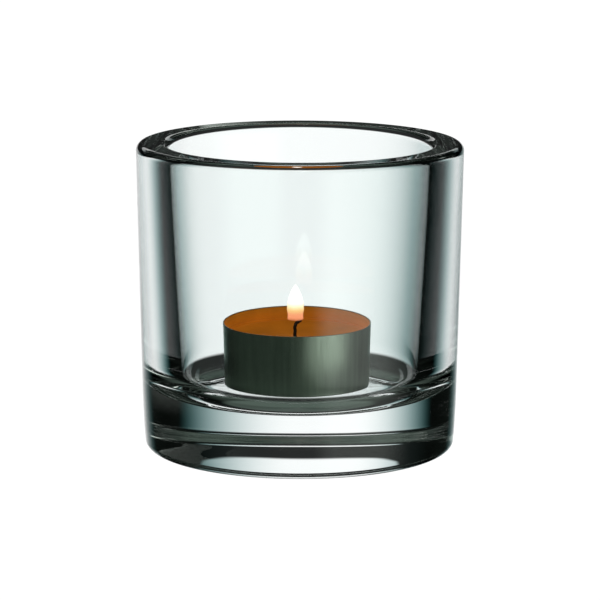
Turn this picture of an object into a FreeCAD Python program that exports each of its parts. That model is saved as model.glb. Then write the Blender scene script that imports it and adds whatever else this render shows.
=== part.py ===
import FreeCAD, Part
import os
import Sketcher

# A tealight standing in a thick glass holder. Millimetres, +Z up. The origin is the centre of
# the ring that the glass stands on.
#
#   glass_body      one pressed piece: tapered outside, cavity with a curved wall, solid base
#   tealight_cup    drawn aluminium cup, loose on the cavity floor
#   wax             poured wax with the shallow bowl that the flame has melted
#   wick_sustainer  stamped steel tab under the wax, whose neck holds the wick upright
#   wick            braided cotton, bent over at its charred top

SIZES = {
    # Glass, outside
    "glass_height": 80.0,
    "rim_outer_radius": 42.4,
    "flank_radius": 41.0,
    "flank_height": 16.0,
    "flank_lower_curve": 300.0,
    "base_outer_radius": 40.15,
    "base_corner_radius": 2.3,
    "rim_outer_rounding": 1.9,
    "rim_inner_rounding": 2.4,
    # Glass, cavity
    "mouth_radius": 33.85,
    "cavity_wall_curve": 3000.0,
    "floor_radius": 30.5,
    "floor_height": 14.3,
    "floor_corner_radius": 9.0,
    # Glass, hollow underside
    "foot_inner_radius": 35.0,
    "hollow_depth": 0.5,
    # Aluminium cup, which stands a little off the holder's axis
    "tealight_offset": -0.7,
    "cup_height": 18.85,
    "cup_top_radius": 19.35,
    "cup_bottom_radius": 18.85,
    "cup_sheet": 0.25,
    "cup_corner_radius": 1.2,
    "cup_stamp_radius": 13.0,
    "cup_stamp_rise": 0.3,
    # Wax
    "wax_clearance": 0.08,
    "wax_edge_height": 15.25,
    "wax_corner_radius": 0.6,
    "bowl_radius": 17.9,
    "bowl_depth": 1.3,
    # Wick and the tab that holds it, a little off the cup's axis
    "wick_offset": -0.5,
    "wick_radius": 0.5,
    "wick_straight": 16.6,
    "wick_bend_radius": 1.75,
    "tab_radius": 6.5,
    "tab_sheet": 0.25,
    "neck_height": 3.2,
    "neck_wall": 0.35,
    "casting_gap": 0.02,
}

# Height of the cup's raised middle, where the wax and the tab rest, above the cavity floor
CUP_FLOOR = "Sizes.cup_stamp_rise + Sizes.cup_sheet"

doc = FreeCAD.newDocument("tealight_holder")

sheet = doc.addObject("Spreadsheet::Sheet", "Sizes")
for row, (alias, size) in enumerate(SIZES.items(), start=1):
    sheet.set(f"A{row}", alias.replace("_", " "))
    sheet.set(f"B{row}", str(size))
    sheet.setAlias(f"B{row}", alias)
doc.recompute()


def value(expression):
    """The number that an expression of sheet cells gives."""
    return float(sheet.evalExpression(expression))


def add_body(name, across="0", up="0"):
    """A named body, placed by expressions for its X and its Z."""
    body = doc.addObject("PartDesign::Body", name)
    body.Label = name
    body.setExpression("Placement.Base.x", across)
    body.setExpression("Placement.Base.z", up)
    return body


def add_sketch(body, name, plane_role):
    """An empty sketch on one of the body's own origin planes."""
    sketch = body.newObject("Sketcher::SketchObject", name)
    plane = next(item for item in body.Origin.OriginFeatures if item.Role == plane_role)
    sketch.AttachmentSupport = [(plane, "")]
    sketch.MapMode = "FlatFace"
    return sketch


def hold(sketch, kind, *references, expression):
    """A dimension of the sketch, bound to an expression of sheet cells."""
    constraint = sketch.addConstraint(Sketcher.Constraint(kind, *references, value(expression)))
    sketch.setExpression(f"Constraints[{constraint}]", expression)


def pin_point(sketch, side, end, across, up):
    """Hold one end of a side at (across, up), on the sketch's own axis where one is zero."""
    for kind, expression, axis in (("DistanceX", across, -2), ("DistanceY", up, -1)):
        if abs(value(expression)) < 1e-9:
            sketch.addConstraint(Sketcher.Constraint("PointOnObject", side, end, axis))
        else:
            hold(sketch, kind, -1, 1, side, end, expression=expression)


def arc_between(start, end, radius, bulge):
    """An arc from start to end that bulges right of the direction of travel, or left for -1."""
    chord = end - start
    rise = radius - (radius ** 2 - (chord.Length / 2) ** 2) ** 0.5
    outward = FreeCAD.Vector(chord.y, -chord.x, 0).normalize()
    return Part.Arc(start, (start + end) * 0.5 + outward * (bulge * rise), end)


def draw_outline(sketch, corners, arcs=None, closed=True):
    """Sides between corners, given as expressions for (across, up).

    arcs maps the number of a curved side to its radius expression and its bulge, 1 for the
    right of the direction of travel and -1 for the left.
    """
    arcs = arcs or {}
    points = [FreeCAD.Vector(value(across), value(up), 0) for across, up in corners]
    sides = len(corners) if closed else len(corners) - 1
    ends = []
    for side in range(sides):
        start, end = points[side], points[(side + 1) % len(points)]
        if side in arcs:
            radius, bulge = arcs[side]
            sketch.addGeometry(arc_between(start, end, value(radius), bulge), False)
            hold(sketch, "Radius", side, expression=radius)
            # An arc is stored anticlockwise, so one that bulges left starts at its far corner
            ends.append((1, 2) if bulge > 0 else (2, 1))
        else:
            sketch.addGeometry(Part.LineSegment(start, end), False)
            ends.append((1, 2))
    for side in range(sides):
        pin_point(sketch, side, ends[side][0], *corners[side])
        following = (side + 1) % sides
        if closed or following:
            sketch.addConstraint(Sketcher.Constraint(
                "Coincident", side, ends[side][1], following, ends[following][0]))
    if not closed:
        pin_point(sketch, sides - 1, ends[-1][1], *corners[-1])


def draw_circle(sketch, radius):
    """A circle about the sketch's origin."""
    circle = sketch.addGeometry(
        Part.Circle(FreeCAD.Vector(), FreeCAD.Vector(0, 0, 1), value(radius)), False)
    sketch.addConstraint(Sketcher.Constraint("Coincident", circle, 3, -1, 1))
    hold(sketch, "Radius", circle, expression=radius)


def add_turned(body, kind, name, sketch):
    """A full turn of the sketch about its own upright axis: Revolution adds, Groove cuts."""
    feature = body.newObject(f"PartDesign::{kind}", name)
    feature.Profile = sketch
    feature.ReferenceAxis = (sketch, ["V_Axis"])
    feature.Angle = 360.0
    doc.recompute()
    return feature


def add_fillet(body, name, base, corner_radius, corner_height, rounding):
    """Round the circular edge that lies at a radius and a height, given as expressions."""
    edge_names = []
    for number, edge in enumerate(base.Shape.Edges, start=1):
        if edge.Degenerated or not isinstance(edge.Curve, Part.Circle):
            continue
        same_radius = abs(edge.Curve.Radius - value(corner_radius)) < 1e-4
        same_height = abs(edge.Curve.Center.z - value(corner_height)) < 1e-4
        if same_radius and same_height:
            edge_names.append(f"Edge{number}")
    if len(edge_names) != 1:
        raise RuntimeError(f"{name}: {len(edge_names)} edges at {corner_radius}")
    fillet = body.newObject("PartDesign::Fillet", name)
    fillet.Base = (base, edge_names)
    fillet.setExpression("Radius", rounding)
    doc.recompute()
    return fillet


def make_glass_body():
    body = add_body("glass_body")
    outline = add_sketch(body, "glass_outline", "XZ_Plane")
    hollow_curve = "(Sizes.foot_inner_radius^2 + Sizes.hollow_depth^2) / (2 * Sizes.hollow_depth)"
    draw_outline(
        outline,
        [
            ("0", "Sizes.hollow_depth"),
            ("Sizes.foot_inner_radius", "0"),
            ("Sizes.base_outer_radius", "0"),
            ("Sizes.flank_radius", "Sizes.flank_height"),
            ("Sizes.rim_outer_radius", "Sizes.glass_height"),
            ("Sizes.mouth_radius", "Sizes.glass_height"),
            ("Sizes.floor_radius", "Sizes.floor_height"),
            ("0", "Sizes.floor_height"),
        ],
        arcs={
            0: (hollow_curve, -1),
            2: ("Sizes.flank_lower_curve", 1),
            5: ("Sizes.cavity_wall_curve", -1),
        },
    )
    glass = add_turned(body, "Revolution", "glass_turned", outline)
    for name, radius, height, rounding in (
        ("floor_corner", "Sizes.floor_radius", "Sizes.floor_height", "Sizes.floor_corner_radius"),
        ("base_corner", "Sizes.base_outer_radius", "0", "Sizes.base_corner_radius"),
        ("rim_outside", "Sizes.rim_outer_radius", "Sizes.glass_height", "Sizes.rim_outer_rounding"),
        ("rim_inside", "Sizes.mouth_radius", "Sizes.glass_height", "Sizes.rim_inner_rounding"),
    ):
        glass = add_fillet(body, name, glass, radius, height, rounding)
    return body


def make_tealight_cup():
    body = add_body("tealight_cup", across="Sizes.tealight_offset", up="Sizes.floor_height")
    outline = add_sketch(body, "cup_outline", "XZ_Plane")
    ring_radius = "Sizes.cup_stamp_radius + Sizes.cup_stamp_rise"
    draw_outline(
        outline,
        [
            ("0", "Sizes.cup_stamp_rise"),
            ("Sizes.cup_stamp_radius", "Sizes.cup_stamp_rise"),
            (ring_radius, "0"),
            ("Sizes.cup_bottom_radius", "0"),
            ("Sizes.cup_top_radius", "Sizes.cup_height"),
            ("Sizes.cup_top_radius - Sizes.cup_sheet", "Sizes.cup_height"),
            ("Sizes.cup_bottom_radius - Sizes.cup_sheet", "Sizes.cup_sheet"),
            (ring_radius, "Sizes.cup_sheet"),
            ("Sizes.cup_stamp_radius", CUP_FLOOR),
            ("0", CUP_FLOOR),
        ],
    )
    cup = add_turned(body, "Revolution", "cup_turned", outline)
    cup = add_fillet(
        body, "cup_corner_outside", cup, "Sizes.cup_bottom_radius", "0", "Sizes.cup_corner_radius")
    add_fillet(
        body, "cup_corner_inside", cup, "Sizes.cup_bottom_radius - Sizes.cup_sheet",
        "Sizes.cup_sheet", "Sizes.cup_corner_radius - Sizes.cup_sheet")
    return body


def make_wax():
    body = add_body("wax", across="Sizes.tealight_offset", up="Sizes.floor_height")
    outline = add_sketch(body, "wax_outline", "XZ_Plane")
    bottom_radius = "Sizes.cup_bottom_radius - Sizes.cup_sheet - Sizes.wax_clearance"
    top_radius = (
        bottom_radius + " + (Sizes.cup_top_radius - Sizes.cup_bottom_radius)"
        " * Sizes.wax_edge_height / Sizes.cup_height"
    )
    bowl_curve = "(Sizes.bowl_radius^2 + Sizes.bowl_depth^2) / (2 * Sizes.bowl_depth)"
    draw_outline(
        outline,
        [
            ("0", CUP_FLOOR),
            (bottom_radius, CUP_FLOOR),
            (top_radius, "Sizes.wax_edge_height"),
            ("Sizes.bowl_radius", "Sizes.wax_edge_height"),
            ("0", "Sizes.wax_edge_height - Sizes.bowl_depth"),
        ],
        arcs={3: (bowl_curve, -1)},
    )
    wax = add_turned(body, "Revolution", "wax_poured", outline)
    wax = add_fillet(body, "wax_corner", wax, bottom_radius, CUP_FLOOR, "Sizes.wax_corner_radius")

    # The space that the wick and its tab fill, set around them as the wax cooled
    core = add_sketch(body, "wick_space", "XZ_Plane")
    core.setExpression("AttachmentOffset.Base.x", "Sizes.wick_offset")
    tab_top = CUP_FLOOR + " + Sizes.tab_sheet + Sizes.casting_gap"
    neck_top = CUP_FLOOR + " + Sizes.neck_height + Sizes.casting_gap"
    wick_space = "Sizes.wick_radius + Sizes.casting_gap"
    neck_space = wick_space + " + Sizes.neck_wall"
    tab_space = "Sizes.tab_radius + Sizes.casting_gap"
    draw_outline(
        core,
        [
            ("0", CUP_FLOOR),
            (tab_space, CUP_FLOOR),
            (tab_space, tab_top),
            (neck_space, tab_top),
            (neck_space, neck_top),
            (wick_space, neck_top),
            (wick_space, "Sizes.wax_edge_height"),
            ("0", "Sizes.wax_edge_height"),
        ],
    )
    poured_volume = wax.Shape.Volume
    cut = add_turned(body, "Groove", "wick_channel", core)
    if cut.Shape.Volume > poured_volume - 30:
        raise RuntimeError("the wick channel did not cut the wax")
    return body


def add_wick_body(name):
    """A body whose origin is under the wick, on the cup's raised middle."""
    return add_body(
        name,
        across="Sizes.tealight_offset + Sizes.wick_offset",
        up="Sizes.floor_height + " + CUP_FLOOR,
    )


def make_wick_sustainer():
    body = add_wick_body("wick_sustainer")
    outline = add_sketch(body, "tab_outline", "XZ_Plane")
    bore = "Sizes.wick_radius + Sizes.casting_gap / 2"
    neck = "Sizes.wick_radius + Sizes.neck_wall"
    draw_outline(
        outline,
        [
            (bore, "0"),
            ("Sizes.tab_radius", "0"),
            ("Sizes.tab_radius", "Sizes.tab_sheet"),
            (neck, "Sizes.tab_sheet"),
            (neck, "Sizes.neck_height"),
            (bore, "Sizes.neck_height"),
        ],
    )
    add_turned(body, "Revolution", "tab_stamped", outline)
    return body


def make_wick():
    body = add_wick_body("wick")
    section = add_sketch(body, "wick_section", "XY_Plane")
    draw_circle(section, "Sizes.wick_radius")
    path = add_sketch(body, "wick_path", "XZ_Plane")
    draw_outline(
        path,
        [
            ("0", "0"),
            ("0", "Sizes.wick_straight"),
            ("Sizes.wick_bend_radius", "Sizes.wick_straight + Sizes.wick_bend_radius"),
        ],
        arcs={1: ("Sizes.wick_bend_radius", -1)},
        closed=False,
    )
    doc.recompute()
    braid = body.newObject("PartDesign::AdditivePipe", "wick_braid")
    braid.Profile = section
    braid.Spine = (path, ["Edge1", "Edge2"])
    doc.recompute()
    return body


def check_document(bodies):
    """Stop if any object failed, or a body's shape is empty or invalid."""
    for item in doc.Objects:
        if "Invalid" in item.State or "Error" in item.State:
            raise RuntimeError(f"{item.Label} failed: {item.State}")
    for body in bodies:
        if body.Shape.isNull() or not body.Shape.isValid() or len(body.Shape.Solids) != 1:
            raise RuntimeError(f"{body.Label} is not one valid solid")


bodies = [
    make_glass_body(),
    make_tealight_cup(),
    make_wax(),
    make_wick_sustainer(),
    make_wick(),
]
doc.recompute()
check_document(bodies)

os.makedirs("parts", exist_ok=True)
for body in bodies:
    body.Shape.exportStep(f"parts/{body.Label}.step")
    box = body.Shape.BoundBox
    print(f"{body.Label}: {body.Shape.Volume:.2f} mm3, Z {box.ZMin:.2f} to {box.ZMax:.2f}")
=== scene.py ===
import math

import bmesh
import bpy
from mathutils import Matrix, Vector


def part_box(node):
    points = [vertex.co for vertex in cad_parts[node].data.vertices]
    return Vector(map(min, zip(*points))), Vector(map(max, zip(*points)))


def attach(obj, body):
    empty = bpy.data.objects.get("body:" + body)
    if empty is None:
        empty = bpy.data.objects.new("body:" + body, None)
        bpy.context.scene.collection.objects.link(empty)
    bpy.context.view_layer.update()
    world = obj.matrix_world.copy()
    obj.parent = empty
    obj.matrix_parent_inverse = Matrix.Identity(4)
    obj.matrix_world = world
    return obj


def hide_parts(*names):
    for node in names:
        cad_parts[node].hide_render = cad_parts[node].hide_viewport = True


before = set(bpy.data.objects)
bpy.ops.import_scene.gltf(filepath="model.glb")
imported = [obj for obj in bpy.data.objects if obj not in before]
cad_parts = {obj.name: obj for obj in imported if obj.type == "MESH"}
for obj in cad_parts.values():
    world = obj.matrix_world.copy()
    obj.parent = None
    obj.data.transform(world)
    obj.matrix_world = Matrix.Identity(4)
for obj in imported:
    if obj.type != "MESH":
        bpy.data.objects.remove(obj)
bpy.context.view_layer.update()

# A lit tealight in a thick glass holder, in metres. +Z is up. The camera is on the -Y side and
# looks along +Y, a little downwards.

MM = 0.001
TURN = 2 * math.pi

# Sizes that the CAD boxes give
glass_low, glass_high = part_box("glass_body")
cup_low, cup_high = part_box("tealight_cup")
wax_low, wax_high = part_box("wax")
wick_low, wick_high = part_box("wick")

GLASS_HEIGHT = glass_high.z
FLOOR_HEIGHT = cup_low.z
CUP_AXIS = Vector(((cup_low.x + cup_high.x) / 2, 0, FLOOR_HEIGHT))
CUP_HEIGHT = cup_high.z - cup_low.z
CUP_TOP_RADIUS = (cup_high.x - cup_low.x) / 2
WAX_EDGE = wax_high.z - cup_low.z
WICK_RADIUS = (wick_high.y - wick_low.y) / 2
WICK_FOOT = Vector((wick_low.x + WICK_RADIUS, 0, wick_low.z))

# Sizes that the boxes don't show, the same as in the CAD model
RIM_RADIUS = 42.4 * MM
FLANK_RADIUS = 41.0 * MM
FLANK_HEIGHT = 16.0 * MM
FLANK_LOWER_CURVE = 300 * MM
BASE_RADIUS = 40.15 * MM
BASE_ROUNDING = 2.3 * MM
RIM_OUTER_ROUNDING = 1.9 * MM
RIM_INNER_ROUNDING = 2.4 * MM
MOUTH_RADIUS = 33.85 * MM
CAVITY_WALL_CURVE = 3000 * MM
FLOOR_RADIUS = 30.5 * MM
FLOOR_CORNER = 9.0 * MM
FOOT_INNER_RADIUS = 35.0 * MM
HOLLOW_DEPTH = 0.5 * MM
CUP_BOTTOM_RADIUS = 18.85 * MM
CUP_SHEET = 0.25 * MM
CUP_CORNER = 1.2 * MM
CUP_STAMP_RADIUS = 13.0 * MM
CUP_STAMP_RISE = 0.3 * MM
BOWL_RADIUS = 17.9 * MM
BOWL_DEPTH = 1.3 * MM
WICK_BEND_RADIUS = 1.75 * MM

FLAME_ACROSS = -1.1 * MM
FLAME_FOOT = 33.2 * MM
FLAME_TIP = 42.8 * MM
FLAME_RADIUS = 2.2 * MM
FLAME_LIGHT = 1.9
FLAME_FOOT_LIGHT = 1.1
GLASS_TINT = (0.955, 0.99, 0.985, 1)
# Strength of the flame's light painted into the wax as a glow
WAX_PAINTED_GLOW = 0.55
WAX_GLOSS = 0.1


# ---------------------------------------------------------------- outlines and turned shapes

def arc(start, end, radius, bulge, steps):
    """Points from start to end on an arc that bulges right of the way it runs, or left for -1."""
    start, end = Vector(start), Vector(end)
    chord = end - start
    right = Vector((chord.y, -chord.x)).normalized()
    centre = (start + end) / 2 - right * bulge * math.sqrt(radius ** 2 - (chord.length / 2) ** 2)
    first = math.atan2(start.y - centre.y, start.x - centre.x)
    last = math.atan2(end.y - centre.y, end.x - centre.x)
    sweep = (last - first + math.pi) % TURN - math.pi
    return [
        centre + radius * Vector((math.cos(first + sweep * i / steps), math.sin(first + sweep * i / steps)))
        for i in range(steps + 1)
    ]


def rounded(before, corner, after, radius, steps=24):
    """The arc that rounds a corner between two straight sides."""
    before, corner, after = Vector(before), Vector(corner), Vector(after)
    back = (before - corner).normalized()
    ahead = (after - corner).normalized()
    half_angle = back.angle(ahead) / 2
    reach = radius / math.tan(half_angle)
    turning_right = back.x * ahead.y - back.y * ahead.x > 0
    return arc(corner + back * reach, corner + ahead * reach, radius, -1 if turning_right else 1, steps)


def outline(corners, spacing):
    """An (across, up) outline from (across, up, rounding) corners, with points along its sides."""
    points = []
    for i, (across, up, rounding) in enumerate(corners):
        if rounding:
            before, after = corners[i - 1][:2], corners[(i + 1) % len(corners)][:2]
            points += rounded(before, (across, up), after, rounding)
        else:
            points.append(Vector((across, up)))
    filled = [points[0]]
    for point in points[1:]:
        run = point - filled[-1]
        pieces = max(1, math.ceil(run.length / spacing))
        start = filled[-1]
        filled += [start + run * k / pieces for k in range(1, pieces + 1)]
    return filled


def turned(name, points, around=192, centre=(0, 0, 0), ring=False):
    """A solid of revolution about an upright axis.

    The outline starts and ends on the axis, or for a ring goes round clear of it.
    """
    mesh = bpy.data.meshes.new(name)
    bm = bmesh.new()
    rings = []
    for point in points:
        if point.x < 1e-7:
            rings.append([bm.verts.new((0, 0, point.y))])
            continue
        rings.append([
            bm.verts.new((
                point.x * math.cos(TURN * k / around),
                point.x * math.sin(TURN * k / around),
                point.y,
            ))
            for k in range(around)
        ])
    following_rings = rings[1:] + rings[:1] if ring else rings[1:]
    for lower, upper in zip(rings, following_rings):
        for k in range(around):
            following = (k + 1) % around
            if len(lower) == 1:
                bm.faces.new((lower[0], upper[following], upper[k]))
            elif len(upper) == 1:
                bm.faces.new((lower[k], lower[following], upper[0]))
            else:
                bm.faces.new((lower[k], lower[following], upper[following], upper[k]))
    bmesh.ops.recalc_face_normals(bm, faces=bm.faces)
    bm.to_mesh(mesh)
    bm.free()
    for polygon in mesh.polygons:
        polygon.use_smooth = True
    piece = bpy.data.objects.new(name, mesh)
    piece.location = centre
    bpy.context.scene.collection.objects.link(piece)
    return piece


def swept(name, path, radius_at, around=40):
    """A closed tube along a path in the X-Z plane, with radius_at(turn, part) round and along it."""
    mesh = bpy.data.meshes.new(name)
    bm = bmesh.new()
    rings = []
    for i, point in enumerate(path):
        ahead = (path[min(i + 1, len(path) - 1)] - path[max(i - 1, 0)]).normalized()
        side = Vector((ahead.y, -ahead.x))
        ring = []
        for k in range(around):
            turn = TURN * k / around
            radius = radius_at(turn, i / (len(path) - 1))
            across = point + side * radius * math.cos(turn)
            ring.append(bm.verts.new((across.x, radius * math.sin(turn), across.y)))
        rings.append(ring)
    for lower, upper in zip(rings, rings[1:]):
        for k in range(around):
            following = (k + 1) % around
            bm.faces.new((lower[k], lower[following], upper[following], upper[k]))
    bm.faces.new(rings[0])
    bm.faces.new(rings[-1])
    bmesh.ops.recalc_face_normals(bm, faces=bm.faces)
    bm.to_mesh(mesh)
    bm.free()
    for polygon in mesh.polygons:
        polygon.use_smooth = True
    piece = bpy.data.objects.new(name, mesh)
    bpy.context.scene.collection.objects.link(piece)
    return piece


# ---------------------------------------------------------------- node helpers

class Nodes:
    """A node tree being written: each call adds one node and links what it is given."""

    def __init__(self, tree):
        self.tree = tree
        tree.nodes.clear()

    def add(self, kind, settings=None, **inputs):
        node = self.tree.nodes.new(kind)
        for key, setting in (settings or {}).items():
            setattr(node, key, setting)
        for key, given in inputs.items():
            socket = node.inputs[int(key[1:])] if key[0] == "_" else node.inputs[key.replace("__", " ")]
            if isinstance(given, bpy.types.NodeSocket):
                self.tree.links.new(given, socket)
            else:
                socket.default_value = given
        return node

    def math(self, operation, a, b=0.0):
        return self.add("ShaderNodeMath", {"operation": operation}, _0=a, _1=b).outputs[0]

    def smooth(self, given, low, high, from_low=0.0, to_high=1.0):
        node = self.add("ShaderNodeMapRange", {"interpolation_type": "SMOOTHSTEP"},
                        _0=given, _1=low, _2=high, _3=from_low, _4=to_high)
        return node.outputs[0]

    def ramp(self, given, stops):
        node = self.add("ShaderNodeValToRGB", _0=given)
        elements = node.color_ramp.elements
        elements[0].position, elements[0].color = stops[0][0], (*stops[0][1], 1)
        elements[1].position, elements[1].color = stops[-1][0], (*stops[-1][1], 1)
        for position, colour in stops[1:-1]:
            elements.new(position).color = (*colour, 1)
        return node.outputs[0]


def new_material(name):
    material = bpy.data.materials.new(name)
    material.use_nodes = True
    return material, Nodes(material.node_tree)


# ---------------------------------------------------------------- materials

def make_glass():
    material, n = new_material("clear_pressed_glass")
    place = n.add("ShaderNodeTexCoord").outputs["Object"]
    ripple = n.add("ShaderNodeTexNoise", Vector=place, Scale=60.0, Detail=1.0).outputs["Fac"]
    bump = n.add("ShaderNodeBump", Strength=0.02, Distance=0.0005, Height=ripple).outputs[0]
    shader = n.add(
        "ShaderNodeBsdfPrincipled", Base__Color=GLASS_TINT, Roughness=0.0, IOR=1.52,
        Transmission__Weight=1.0, Normal=bump)
    n.add("ShaderNodeOutputMaterial", Surface=shader.outputs[0])
    return material


def make_aluminium():
    material, n = new_material("drawn_aluminium")
    place = n.add("ShaderNodeTexCoord").outputs["Object"]
    stretched = n.add("ShaderNodeMapping", Vector=place, Scale=(1.0, 1.0, 0.04)).outputs[0]
    marks = n.add("ShaderNodeTexNoise", Vector=stretched, Scale=900.0, Detail=3.0).outputs["Fac"]
    roughness = n.smooth(marks, 0.3, 0.7, 0.30, 0.45)
    colour = n.ramp(marks, [(0.3, (0.48, 0.54, 0.45)), (0.7, (0.61, 0.68, 0.57))])
    bump = n.add("ShaderNodeBump", Strength=0.2, Distance=0.00005, Height=marks).outputs[0]
    shader = n.add(
        "ShaderNodeBsdfPrincipled", Base__Color=colour, Metallic=1.0, Roughness=roughness, Normal=bump)
    n.add("ShaderNodeOutputMaterial", Surface=shader.outputs[0])
    return material


def make_wax():
    """Amber wax, with the flame's light painted into it as a glow from within."""
    material, n = new_material("amber_wax")
    place = n.add("ShaderNodeTexCoord").outputs["Object"]
    cloud = n.add("ShaderNodeTexNoise", Vector=place, Scale=140.0, Detail=4.0).outputs["Fac"]
    colour = n.ramp(cloud, [(0.3, (0.36, 0.105, 0.003)), (0.7, (0.46, 0.135, 0.005))])
    bump = n.add("ShaderNodeBump", Strength=0.05, Distance=0.0003, Height=cloud).outputs[0]
    # The emission paints the flame's light in the wax as a glow: the wax itself is no lamp.
    shader = n.add(
        "ShaderNodeBsdfPrincipled", Base__Color=colour, Roughness=0.35, Normal=bump,
        Specular__IOR__Level=WAX_GLOSS, Subsurface__Weight=0.3, Subsurface__Scale=0.003,
        Emission__Color=colour, Emission__Strength=WAX_PAINTED_GLOW)
    n.add("ShaderNodeOutputMaterial", Surface=shader.outputs[0])
    return material


def make_cotton():
    material, n = new_material("charred_cotton")
    place = n.add("ShaderNodeTexCoord").outputs["Object"]
    fibres = n.add("ShaderNodeTexNoise", Vector=place, Scale=3000.0, Detail=4.0).outputs["Fac"]
    colour = n.ramp(fibres, [(0.3, (0.004, 0.003, 0.002)), (0.7, (0.02, 0.015, 0.01))])
    bump = n.add("ShaderNodeBump", Strength=0.6, Distance=0.0001, Height=fibres).outputs[0]
    shader = n.add("ShaderNodeBsdfPrincipled", Base__Color=colour, Roughness=0.85, Normal=bump)
    n.add("ShaderNodeOutputMaterial", Surface=shader.outputs[0])
    return material


def make_steel():
    material, n = new_material("tinned_steel")
    place = n.add("ShaderNodeTexCoord").outputs["Object"]
    grain = n.add("ShaderNodeTexNoise", Vector=place, Scale=1500.0, Detail=3.0).outputs["Fac"]
    roughness = n.smooth(grain, 0.3, 0.7, 0.25, 0.45)
    shader = n.add(
        "ShaderNodeBsdfPrincipled", Base__Color=(0.6, 0.6, 0.57, 1), Metallic=1.0, Roughness=roughness)
    n.add("ShaderNodeOutputMaterial", Surface=shader.outputs[0])
    return material


def make_flame_material(low, high):
    """Pink at the bottom, then yellow, then white hot, and clear at the outline and the foot."""
    material, n = new_material("candle_flame")
    place = n.add("ShaderNodeTexCoord").outputs["Object"]
    up = n.add("ShaderNodeSeparateXYZ", Vector=place).outputs["Z"]
    flicker = n.add("ShaderNodeTexNoise", Vector=place, Scale=500.0, Detail=2.0).outputs["Fac"]
    wavy = n.math("ADD", up, n.math("MULTIPLY", flicker, 0.4 * MM))
    height = n.add("ShaderNodeMapRange", _0=wavy, _1=low, _2=high).outputs[0]
    colour = n.ramp(height, [
        (0.0, (1.0, 0.30, 0.14)), (0.22, (1.0, 0.38, 0.18)), (0.34, (1.0, 0.62, 0.24)),
        (0.48, (1.0, 0.88, 0.60)), (0.62, (1.0, 0.98, 0.90))])
    strength = n.smooth(height, 0.30, 0.66, FLAME_FOOT_LIGHT, FLAME_LIGHT)
    glow = n.add("ShaderNodeEmission", Color=colour, Strength=strength)
    clear = n.add("ShaderNodeBsdfTransparent")
    edge = n.add("ShaderNodeLayerWeight", Blend=0.5).outputs["Facing"]
    outline_fade = n.smooth(edge, 0.95, 0.45)
    foot_fade = n.smooth(height, 0.0, 0.16)
    solid = n.math("MULTIPLY", outline_fade, foot_fade)
    mixed = n.add("ShaderNodeMixShader", _0=solid, _1=clear.outputs[0], _2=glow.outputs[0])
    n.add("ShaderNodeOutputMaterial", Surface=mixed.outputs[0])
    return material


# ---------------------------------------------------------------- pieces

def give(piece, material):
    piece.data.materials.clear()
    piece.data.materials.append(material)


def cavity_wall():
    """The cavity's wall from its mouth down, and the arc that rounds it into the floor."""
    floor = (FLOOR_RADIUS, FLOOR_HEIGHT)
    wall = arc((MOUTH_RADIUS, GLASS_HEIGHT), floor, CAVITY_WALL_CURVE, -1, 40)
    corner = rounded(wall[-2], floor, (0, FLOOR_HEIGHT), FLOOR_CORNER, 48)
    low, high = corner[0].y + 0.5 * MM, GLASS_HEIGHT - 1.2 * RIM_INNER_ROUNDING
    return [p for p in wall if low < p.y < high] + corner


def make_glass_piece():
    hollow_curve = (FOOT_INNER_RADIUS ** 2 + HOLLOW_DEPTH ** 2) / (2 * HOLLOW_DEPTH)
    hollow = arc((0, HOLLOW_DEPTH), (FOOT_INNER_RADIUS, 0), hollow_curve, -1, 24)
    flank = arc((BASE_RADIUS, 0), (FLANK_RADIUS, FLANK_HEIGHT), FLANK_LOWER_CURVE, 1, 12)
    corners = [(p.x, p.y, 0) for p in hollow]
    corners += [(BASE_RADIUS, 0, BASE_ROUNDING)]
    corners += [(p.x, p.y, 0) for p in flank if p.y > 1.2 * BASE_ROUNDING]
    corners += [
        (RIM_RADIUS, GLASS_HEIGHT, RIM_OUTER_ROUNDING),
        (MOUTH_RADIUS, GLASS_HEIGHT, RIM_INNER_ROUNDING),
    ]
    corners += [(p.x, p.y, 0) for p in cavity_wall()]
    corners.append((0, FLOOR_HEIGHT, 0))
    glass = turned("holder_glass", outline(corners, 1.5 * MM), around=288)
    give(glass, make_glass())
    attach(glass, "holder")
    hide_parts("glass_body")


def make_cup_piece():
    ring = CUP_STAMP_RADIUS + CUP_STAMP_RISE
    edge = 0.1 * MM
    corners = [
        (0, CUP_STAMP_RISE, 0),
        (CUP_STAMP_RADIUS, CUP_STAMP_RISE, 0.2 * MM),
        (ring, 0, 0.2 * MM),
        (CUP_BOTTOM_RADIUS, 0, CUP_CORNER),
        (CUP_TOP_RADIUS, CUP_HEIGHT, edge),
        (CUP_TOP_RADIUS - CUP_SHEET, CUP_HEIGHT, edge),
        (CUP_BOTTOM_RADIUS - CUP_SHEET, CUP_SHEET, CUP_CORNER - CUP_SHEET),
        (ring, CUP_SHEET, 0.2 * MM),
        (CUP_STAMP_RADIUS, CUP_STAMP_RISE + CUP_SHEET, 0.2 * MM),
        (0, CUP_STAMP_RISE + CUP_SHEET, 0),
    ]
    cup = turned("cup_shell", outline(corners, 1 * MM), centre=CUP_AXIS)
    give(cup, make_aluminium())
    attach(cup, "tealight")
    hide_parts("tealight_cup")


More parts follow.
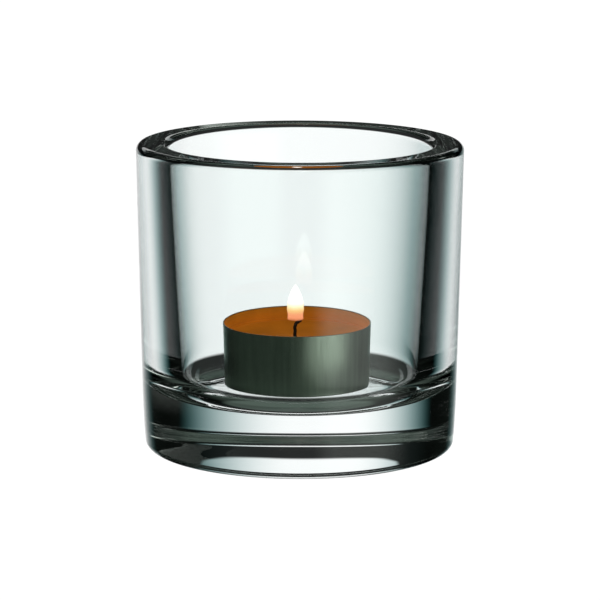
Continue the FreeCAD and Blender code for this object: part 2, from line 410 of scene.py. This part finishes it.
def make_wax_pieces(wax_material):
    """A thin sheet of the glowing wax on the cup's inner wall, which paints the amber reflection of the wax
    and the flame's light there, and the wax where it climbs the wall and the wick.
    """
    slope = (CUP_TOP_RADIUS - CUP_BOTTOM_RADIUS) / CUP_HEIGHT

    def wall_radius(up):
        return CUP_BOTTOM_RADIUS - CUP_SHEET + slope * up

    # Painted reflection: a thin sheet of the glowing wax over the cup's inner wall above the wax, standing
    # in for the wall's amber reflection of the wax and the flame.
    low, high = WAX_EDGE + 0.15 * MM, CUP_HEIGHT - 0.25 * MM
    wall_reflection_sheet = turned("painted_wax_reflection", [
        Vector((wall_radius(low), low)), Vector((wall_radius(high), high)),
        Vector((wall_radius(high) - 0.03 * MM, high)), Vector((wall_radius(low) - 0.05 * MM, low)),
    ], centre=CUP_AXIS, ring=True)
    give(wall_reflection_sheet, wax_material)
    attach(wall_reflection_sheet, "tealight")

    wax_radius = (wax_high.x - wax_low.x) / 2
    inside = BOWL_RADIUS - 0.5 * MM
    climb = arc((inside, WAX_EDGE - 0.08 * MM), (wax_radius, WAX_EDGE + 0.4 * MM), 1.5 * MM, 1, 12)
    climb += [Vector((wax_radius, WAX_EDGE - 0.2 * MM)), Vector((inside, WAX_EDGE - 0.3 * MM))]
    edge = turned("wax_edge", climb, centre=CUP_AXIS, ring=True)

    pool = WAX_EDGE - BOWL_DEPTH
    reach = WICK_RADIUS + 1.3 * MM
    climb = arc((reach, pool - 0.01 * MM), (WICK_RADIUS, pool + 0.7 * MM), 1.3 * MM, 1, 12)
    climb += [Vector((WICK_RADIUS, pool - 0.3 * MM)), Vector((reach, pool - 0.3 * MM))]
    collar = turned("wax_collar", climb, around=48, centre=(WICK_FOOT.x, 0, FLOOR_HEIGHT), ring=True)
    for piece in (edge, collar):
        give(piece, wax_material)
        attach(piece, "candle")


def make_wick_piece():
    """A round braid, bent over and burnt thin at its tip."""
    straight = wick_high.z - WICK_FOOT.z - WICK_BEND_RADIUS - WICK_RADIUS
    foot = Vector((WICK_FOOT.x, WICK_FOOT.z))
    bend = foot + Vector((0, straight))
    tip = bend + Vector((WICK_BEND_RADIUS, WICK_BEND_RADIUS))
    path = [foot.lerp(bend, i / 120) for i in range(120)]
    path += arc(bend, tip, WICK_BEND_RADIUS, -1, 30)

    def radius_at(turn, part):
        plait = max(math.cos(3 * turn + 75 * part), math.cos(3 * turn - 75 * part))
        burnt = min(1.0, ((1 - part) * 22 + 0.25) ** 0.5)
        return WICK_RADIUS * (0.84 + 0.14 * plait) * burnt

    wick = swept("braided_wick", path, radius_at)
    give(wick, make_cotton())
    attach(wick, "candle")
    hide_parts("wick")


def make_flame():
    """A still flame: a blunt open foot round the wick's tip, upright sides and a rounded point."""
    base = FLAME_FOOT
    height = FLAME_TIP - FLAME_FOOT
    points = [Vector((0, base))]
    for i in range(1, 40):
        part = i / 40
        taper = max(0.0, (part - 0.30) / 0.70)
        swell = 1.04 - 0.10 * math.sin(math.pi * min(1.0, part / 0.3))
        foot = min(1.0, (part / 0.05) ** 0.5)
        radius = FLAME_RADIUS * foot * swell * (1 - taper ** 1.9) ** 0.85
        points.append(Vector((radius, base + height * part)))
    points.append(Vector((0, base + height)))
    flame = turned("flame", points, around=64, centre=(FLAME_ACROSS, 0, 0))
    give(flame, make_flame_material(base, base + height))
    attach(flame, "candle")


# ---------------------------------------------------------------- camera, light and floor

CAMERA_PLACE = (0, -0.88615, 0.20799)
CAMERA_PITCH = 0.18898
CAMERA_TURN = -0.0001
CAMERA_ROLL = 0.00228
CAMERA_LENS = 208.1
CAMERA_SENSOR = 36.0
FLOOR_REACH = 20.0
WHITE = (1, 1, 1, 1)
PAPER_WHITE = 1.05


def make_camera():
    data = bpy.data.cameras.new("camera")
    data.lens = CAMERA_LENS
    data.sensor_width = CAMERA_SENSOR
    camera = bpy.data.objects.new("camera", data)
    bpy.context.scene.collection.objects.link(camera)
    camera.matrix_world = (
        Matrix.Translation(CAMERA_PLACE)
        @ Matrix.Rotation(CAMERA_TURN, 4, "Z")
        @ Matrix.Rotation(math.pi / 2 - CAMERA_PITCH, 4, "X")
        @ Matrix.Rotation(CAMERA_ROLL, 4, "Z")
    )
    bpy.context.scene.camera = camera


def make_floor():
    """A white floor that only the camera sees, so that all the light comes from the dome."""
    mesh = bpy.data.meshes.new("floor")
    corners = [(x * FLOOR_REACH, y * FLOOR_REACH, 0) for x, y in ((-1, -1), (1, -1), (1, 1), (-1, 1))]
    mesh.from_pydata(corners, [], [(0, 1, 2, 3)])
    floor = bpy.data.objects.new("floor", mesh)
    bpy.context.scene.collection.objects.link(floor)
    material, n = new_material("white_floor")
    glow = n.add("ShaderNodeEmission", Color=WHITE, Strength=PAPER_WHITE)
    n.add("ShaderNodeOutputMaterial", Surface=glow.outputs[0])
    give(floor, material)
    floor.visible_transmission = False
    floor.visible_glossy = False
    floor.visible_diffuse = False


def make_white_room():
    """White beyond the floor. The dome hides it from everything but the camera."""
    world = bpy.data.worlds.new("white_room")
    world.use_nodes = True
    background = world.node_tree.nodes["Background"]
    background.inputs["Color"].default_value = WHITE
    background.inputs["Strength"].default_value = PAPER_WHITE
    bpy.context.scene.world = world


TENT_RADIUS = 10.0
BACKDROP_LIGHT = 1.06
BACKDROP_RED_FALL = 1.27
DARK_BAND = 0.022
ARCH_SPAN = 26.0
RIGHT_LIGHT = 0.9
RIGHT_COLOUR = (0.92, 1.0, 0.92, 1)
SKY_LIGHT = 0.06
TABLE_LIGHT = 0.08
FILL_LIGHT = 0.04
FILL_COLOUR = (0.75, 1, 0.84, 1)


def make_tent_material():
    """The dome's light by direction: azimuth 0 is behind the object and 90 at its right."""
    material, n = new_material("tent_light")
    place = n.add("ShaderNodeTexCoord").outputs["Object"]
    axes = n.add("ShaderNodeSeparateXYZ", Vector=place)
    x, y, z = axes.outputs["X"], axes.outputs["Y"], axes.outputs["Z"]
    degrees = 180 / math.pi
    azimuth = n.math("MULTIPLY", n.math("ARCTAN2", x, y), degrees)
    level = n.math("SQRT", n.math("ADD", n.math("MULTIPLY", x, x), n.math("MULTIPLY", y, y)))
    elevation = n.math("MULTIPLY", n.math("ARCTAN2", z, level), degrees)
    aside = n.math("ABSOLUTE", azimuth)

    # The backdrop fades out to both sides. It is bright near eye level and in an arched patch
    # higher up, with a dark band between them.
    across = n.math("MULTIPLY", n.smooth(azimuth, -46.0, -13.0), n.smooth(azimuth, 39.0, 1.0))
    red = n.math("POWER", across, BACKDROP_RED_FALL)
    backdrop = n.add("ShaderNodeCombineColor", Red=red, Green=across, Blue=across).outputs[0]
    near_level = n.math("MULTIPLY", n.smooth(elevation, 4.0, -1.0), n.smooth(elevation, -29.0, -25.0))
    arch = n.math("POWER", n.math("DIVIDE", aside, ARCH_SPAN), 4.0)
    arched = n.math("SUBTRACT", elevation, arch)
    high = n.math("MULTIPLY", n.smooth(arched, 13.2, 13.8), n.smooth(elevation, 20.0, 17.5))
    high = n.math("MULTIPLY", high, n.smooth(aside, 33.0, 28.0))
    behind = n.math("ADD", n.math("ADD", near_level, high), DARK_BAND)
    behind = n.math("MULTIPLY", behind, BACKDROP_LIGHT)

    # A low light at the right, towards the camera
    right = n.math("MULTIPLY", n.smooth(azimuth, 88.0, 122.0), n.smooth(azimuth, 172.0, 152.0))
    right_low = n.math("MULTIPLY", n.smooth(elevation, 2.0, -4.0), n.smooth(elevation, -30.0, -16.0))
    right = n.math("MULTIPLY", right, n.math("MULTIPLY", right_low, RIGHT_LIGHT))

    # Weak light from above, from below and from everywhere that isn't behind
    sky = n.math("MULTIPLY", n.smooth(elevation, 32.0, 50.0), n.smooth(aside, 70.0, 110.0, 0.0, SKY_LIGHT))
    below = n.smooth(elevation, -44.0, -52.0, 0.0, TABLE_LIGHT)
    around = n.smooth(aside, 60.0, 90.0, 0.0, FILL_LIGHT)
    fill = n.math("ADD", n.math("ADD", sky, below), around)

    total = n.add("ShaderNodeEmission", Color=backdrop, Strength=behind).outputs[0]
    for colour, strength in ((RIGHT_COLOUR, right), (FILL_COLOUR, fill)):
        light = n.add("ShaderNodeEmission", Color=colour, Strength=strength).outputs[0]
        total = n.add("ShaderNodeAddShader", _0=total, _1=light).outputs[0]
    n.add("ShaderNodeOutputMaterial", Surface=total)
    return material


def make_light_tent():
    """A big dome of light round the object, which stays where it is when the camera moves."""
    mesh = bpy.data.meshes.new("light_tent")
    bm = bmesh.new()
    bmesh.ops.create_uvsphere(bm, u_segments=32, v_segments=16, radius=TENT_RADIUS)
    bm.to_mesh(mesh)
    bm.free()
    tent = bpy.data.objects.new("light_tent", mesh)
    bpy.context.scene.collection.objects.link(tent)
    give(tent, make_tent_material())
    tent.visible_camera = False


scene = bpy.context.scene
scene.view_settings.view_transform = "Standard"
scene.cycles.max_bounces = 24
scene.cycles.transmission_bounces = 24
scene.cycles.glossy_bounces = 12
scene.cycles.transparent_max_bounces = 16

make_camera()
make_glass_piece()
make_cup_piece()
wax_material = make_wax()
give(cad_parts["wax"], wax_material)
make_wax_pieces(wax_material)
make_wick_piece()
give(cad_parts["wick_sustainer"], make_steel())
make_flame()
make_floor()
make_white_room()
make_light_tent()
